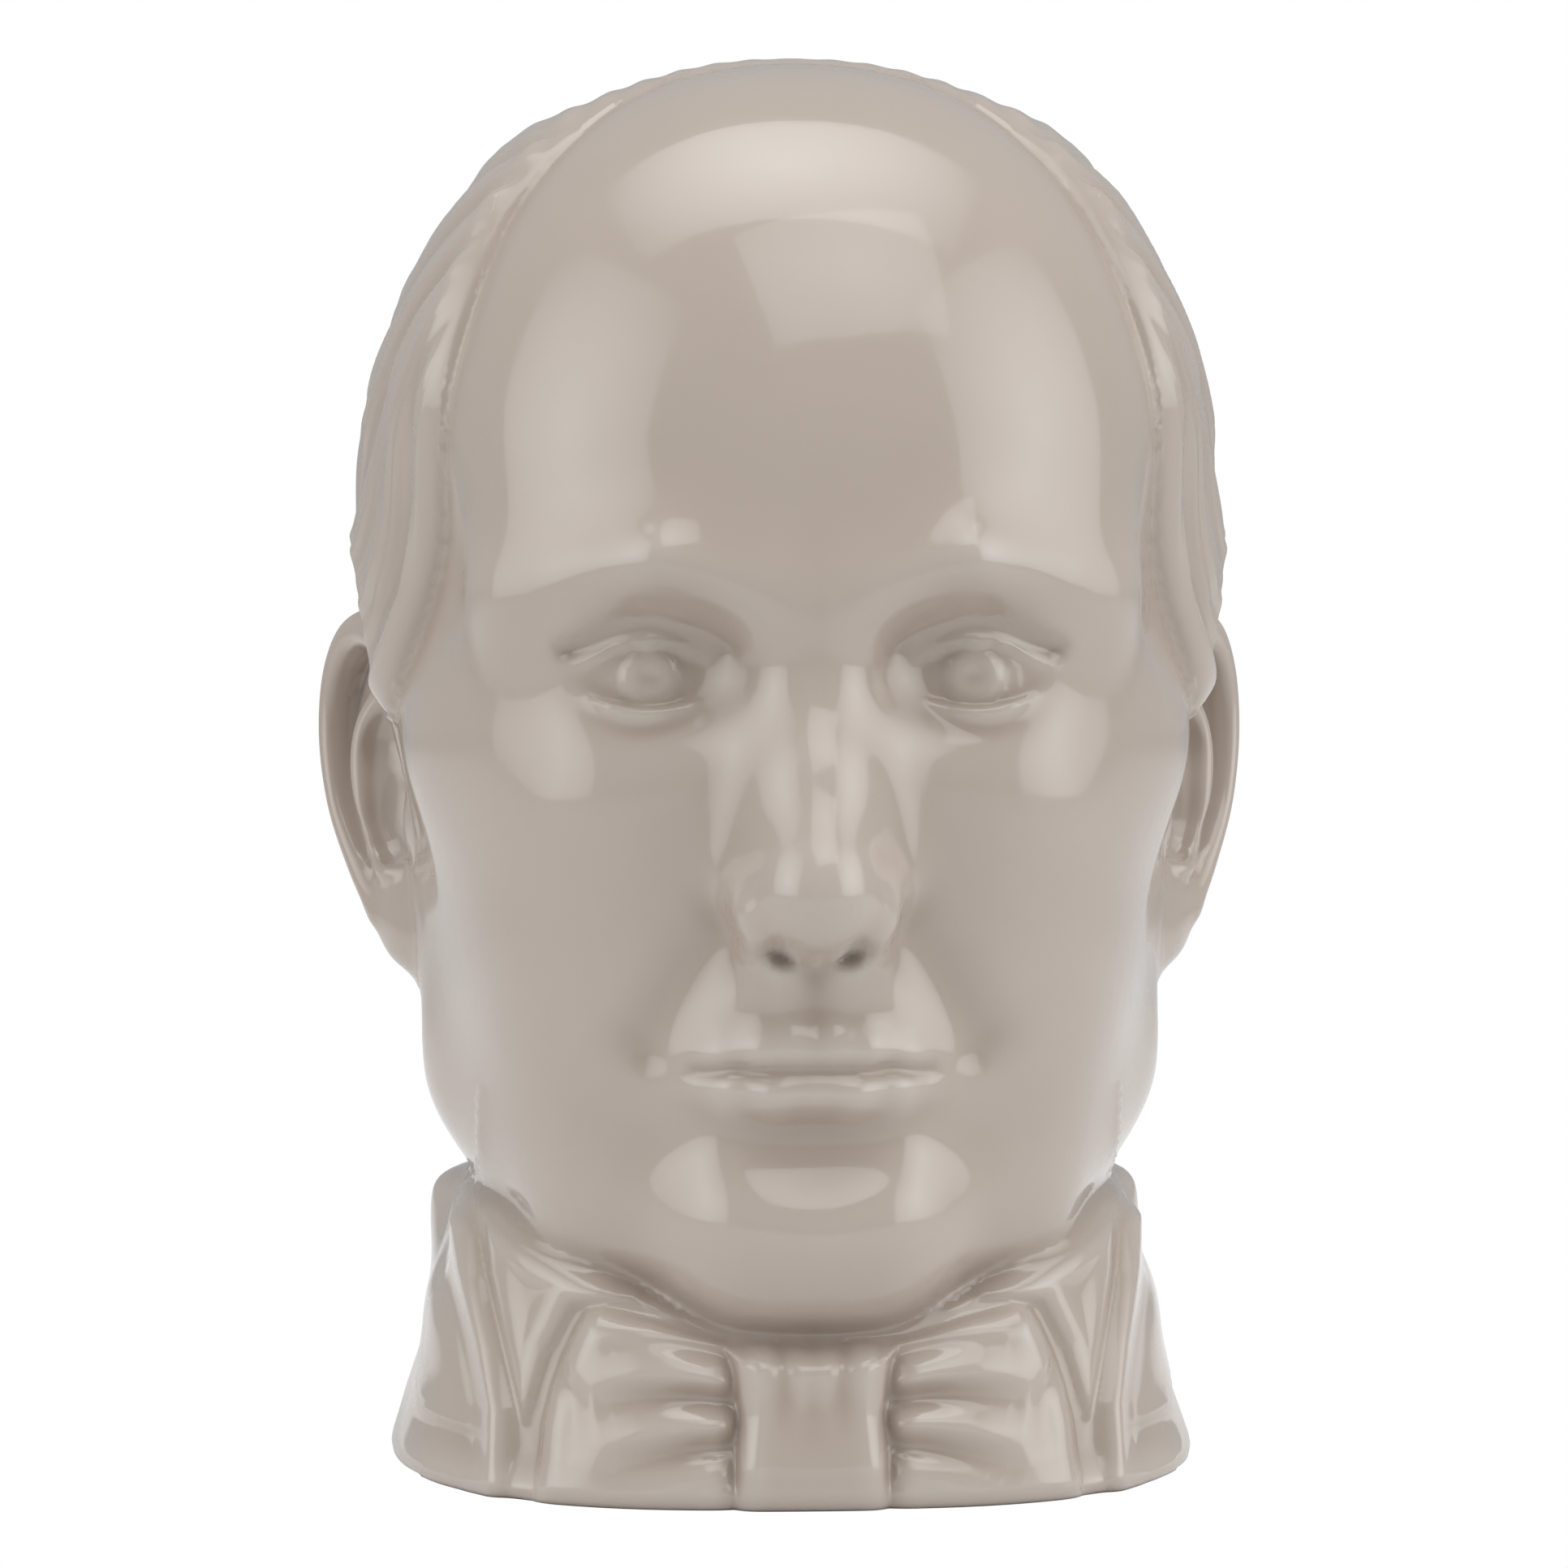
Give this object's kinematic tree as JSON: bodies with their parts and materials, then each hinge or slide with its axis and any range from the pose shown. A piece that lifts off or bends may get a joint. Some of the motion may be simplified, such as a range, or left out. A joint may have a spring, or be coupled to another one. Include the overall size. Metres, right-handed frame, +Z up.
{
  "type": "loving cup",
  "caption": "Glazed pottery loving cup in the form of a gentleman's head with a bow tie, open at the back of the crown, with loop handles behind.",
  "frame": {"origin": "middle of the bounding box in plan, on the surface that the foot stands on", "axes": "+Z up through the crown, +X to the viewer's right, the face looks along -Y"},
  "size_m": [0.1118, 0.1476, 0.1651],
  "materials": {
    "glaze": "thick, even greige glaze with a high gloss, pooled slightly darker in the hollows"
  },
  "bodies": {
    "root": {"cup_body": "glaze", "hair_crown": "glaze", "hair_right": "glaze", "hair_left": "glaze", "hair_back": "glaze", "ear_right": "glaze", "ear_left": "glaze", "coat_collar": "glaze", "lapel_right": "glaze", "lapel_left": "glaze", "shirt_wing_right": "glaze", "shirt_wing_left": "glaze", "bow_knot": "glaze", "bow_loop_right": "glaze", "bow_loop_left": "glaze", "handle_right": "glaze", "handle_left": "glaze"}
  },
  "joints": []
}
